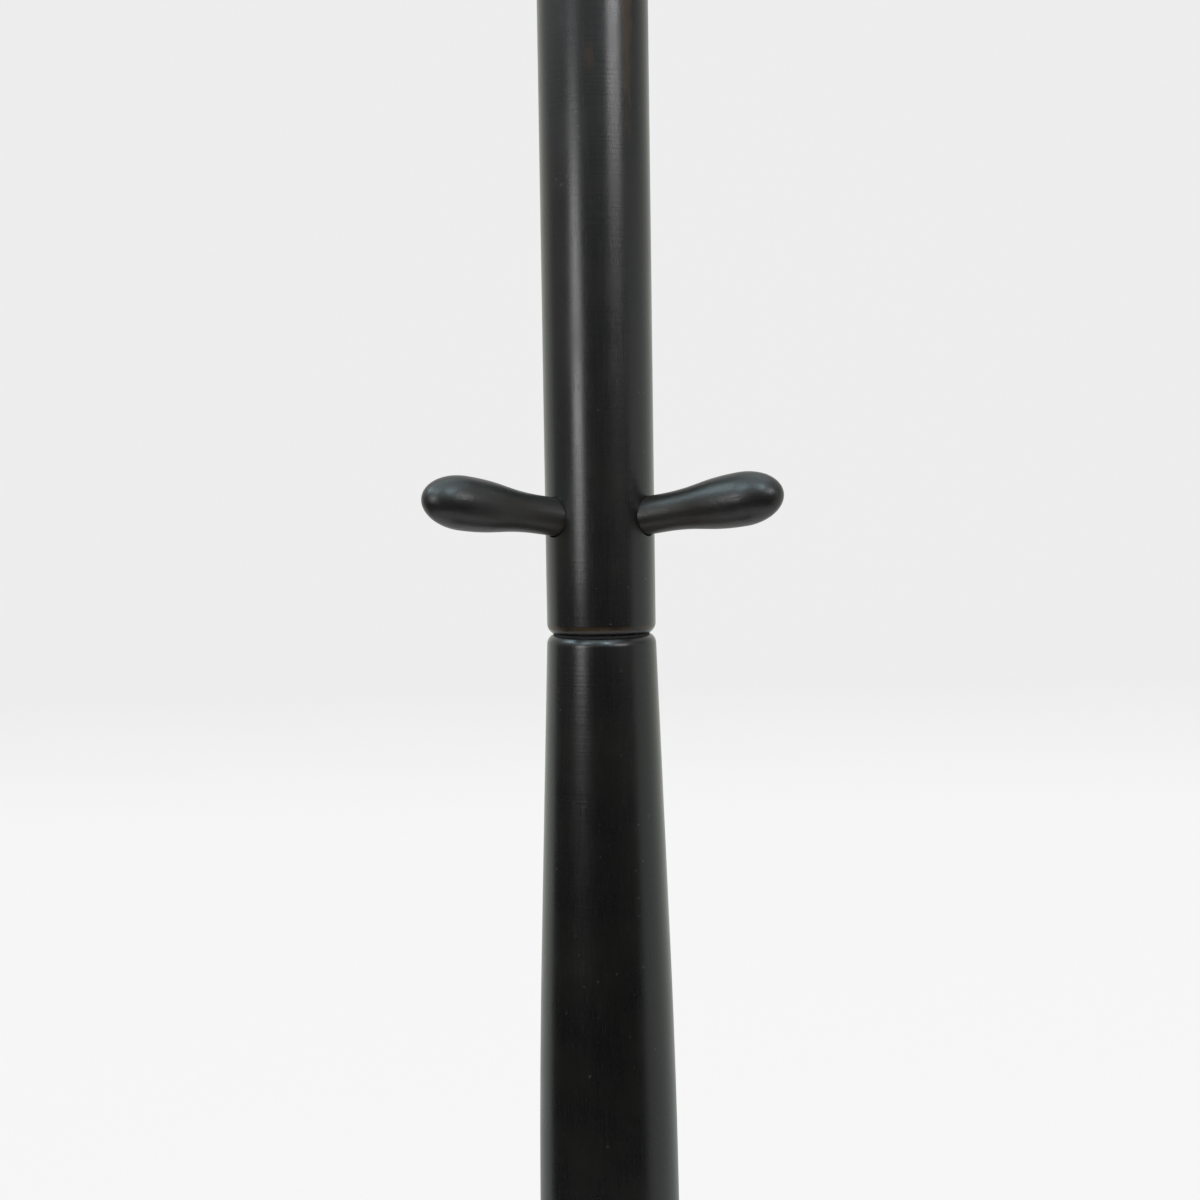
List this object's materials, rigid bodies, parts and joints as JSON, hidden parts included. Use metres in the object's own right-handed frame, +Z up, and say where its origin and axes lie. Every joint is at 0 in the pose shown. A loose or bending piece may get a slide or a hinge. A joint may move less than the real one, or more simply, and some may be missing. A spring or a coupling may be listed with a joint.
{
  "type": "coat rack",
  "caption": "Free-standing coat rack of black turned wood: a domed round base, a swelling trunk, a straight post that screws onto it, tilted turned pegs in tiers and a domed cap.",
  "frame": {"origin": "on the floor, on the axis of the post", "axes": "+Z up along the post; the lower tier has one peg towards +Y and two towards -Y, and the pictured side faces -Y"},
  "size_m": [0.39, 0.39, 1.78],
  "materials": {
    "black_wood": "black stain under a satin clear coat, worn brown in places",
    "plain_wood": "bare beech dowel",
    "zinc_steel": "bright zinc plate",
    "ballast_steel": "black primer",
    "insert_brass": "turned",
    "washer_fibre": "black fibre sheet",
    "pad_rubber": "matt rubber sheet"
  },
  "bodies": {
    "stand": {"floor_pad": "pad_rubber", "ballast_plate": "ballast_steel", "ballast_screws": "zinc_steel", "base_disc": "black_wood", "base_washer": "zinc_steel", "base_bolt": "zinc_steel", "foot_insert": "insert_brass", "trunk": "black_wood", "joint_insert": "insert_brass"},
    "washer": {"joint_washer": "washer_fibre"},
    "upper": {"post": "black_wood", "joint_stud": "zinc_steel", "cap_dowel": "plain_wood", "top_cap": "black_wood", "lower_peg_1": "black_wood", "lower_peg_2": "black_wood", "lower_peg_3": "black_wood", "middle_peg_1": "black_wood", "middle_peg_2": "black_wood", "middle_peg_3": "black_wood", "upper_peg_1": "black_wood", "upper_peg_2": "black_wood", "upper_peg_3": "black_wood"}
  },
  "joints": [
    {"name": "post_turn", "type": "hinge", "parent": "stand", "child": "washer", "pos_m": [0, 0, 0.859], "axis": [0, 0, 1], "range_deg": [0, 5040]},
    {"name": "post_lift", "type": "slide", "parent": "washer", "child": "upper", "axis": [0, 0, 1], "range_m": [0, 0.0245]}
  ],
  "couplings": [
    {"joint": "post_lift", "follows": "post_turn", "m_per_rad": 0.0002785}
  ]
}
